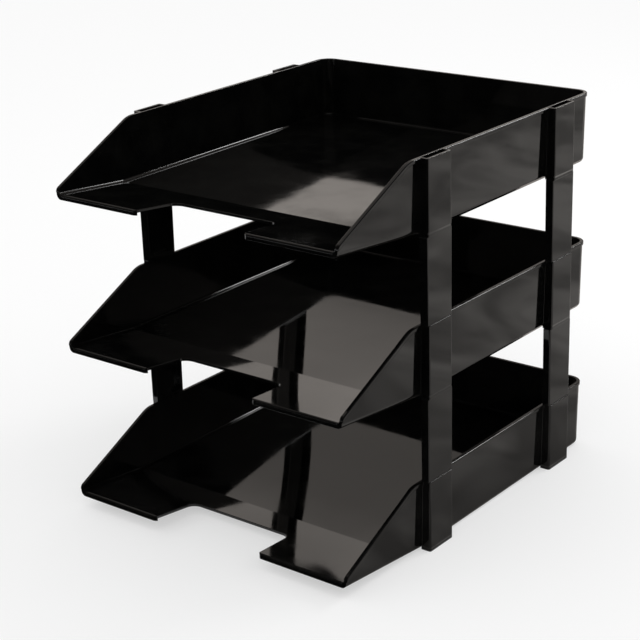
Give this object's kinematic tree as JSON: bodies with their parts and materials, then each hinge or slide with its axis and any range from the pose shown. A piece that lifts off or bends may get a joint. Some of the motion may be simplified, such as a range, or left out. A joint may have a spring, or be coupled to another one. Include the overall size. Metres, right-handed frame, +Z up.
{
  "type": "letter tray stack",
  "caption": "Stack of open-fronted letter trays with sloping cheeks and finger notches, held apart by risers that plug into side sockets.",
  "frame": {"origin": "on the surface the stack stands on, in the middle of its footprint", "axes": "+Z up; -Y towards the open front; +X to the right as seen from the front"},
  "size_m": [0.2648, 0.318, 0.2876],
  "materials": {
    "tray_polystyrene": "gloss",
    "riser_polystyrene": "gloss"
  },
  "bodies": {
    "bottom_tray": {"bottom_tray": "tray_polystyrene"},
    "lower_risers": {"lower_riser_front_left": "riser_polystyrene", "lower_riser_front_right": "riser_polystyrene", "lower_riser_rear_left": "riser_polystyrene", "lower_riser_rear_right": "riser_polystyrene"},
    "middle_tray": {"middle_tray": "tray_polystyrene"},
    "upper_risers": {"upper_riser_front_left": "riser_polystyrene", "upper_riser_front_right": "riser_polystyrene", "upper_riser_rear_left": "riser_polystyrene", "upper_riser_rear_right": "riser_polystyrene"},
    "top_tray": {"top_tray": "tray_polystyrene"}
  },
  "joints": [
    {"name": "lower_risers_lift", "type": "slide", "parent": "bottom_tray", "child": "lower_risers", "axis": [0, 0, 1], "range_m": [0, 0.03]},
    {"name": "middle_tray_lift", "type": "slide", "parent": "lower_risers", "child": "middle_tray", "axis": [0, 0, 1], "range_m": [0, 0.03]},
    {"name": "upper_risers_lift", "type": "slide", "parent": "middle_tray", "child": "upper_risers", "axis": [0, 0, 1], "range_m": [0, 0.03]},
    {"name": "top_tray_lift", "type": "slide", "parent": "upper_risers", "child": "top_tray", "axis": [0, 0, 1], "range_m": [0, 0.03]}
  ]
}
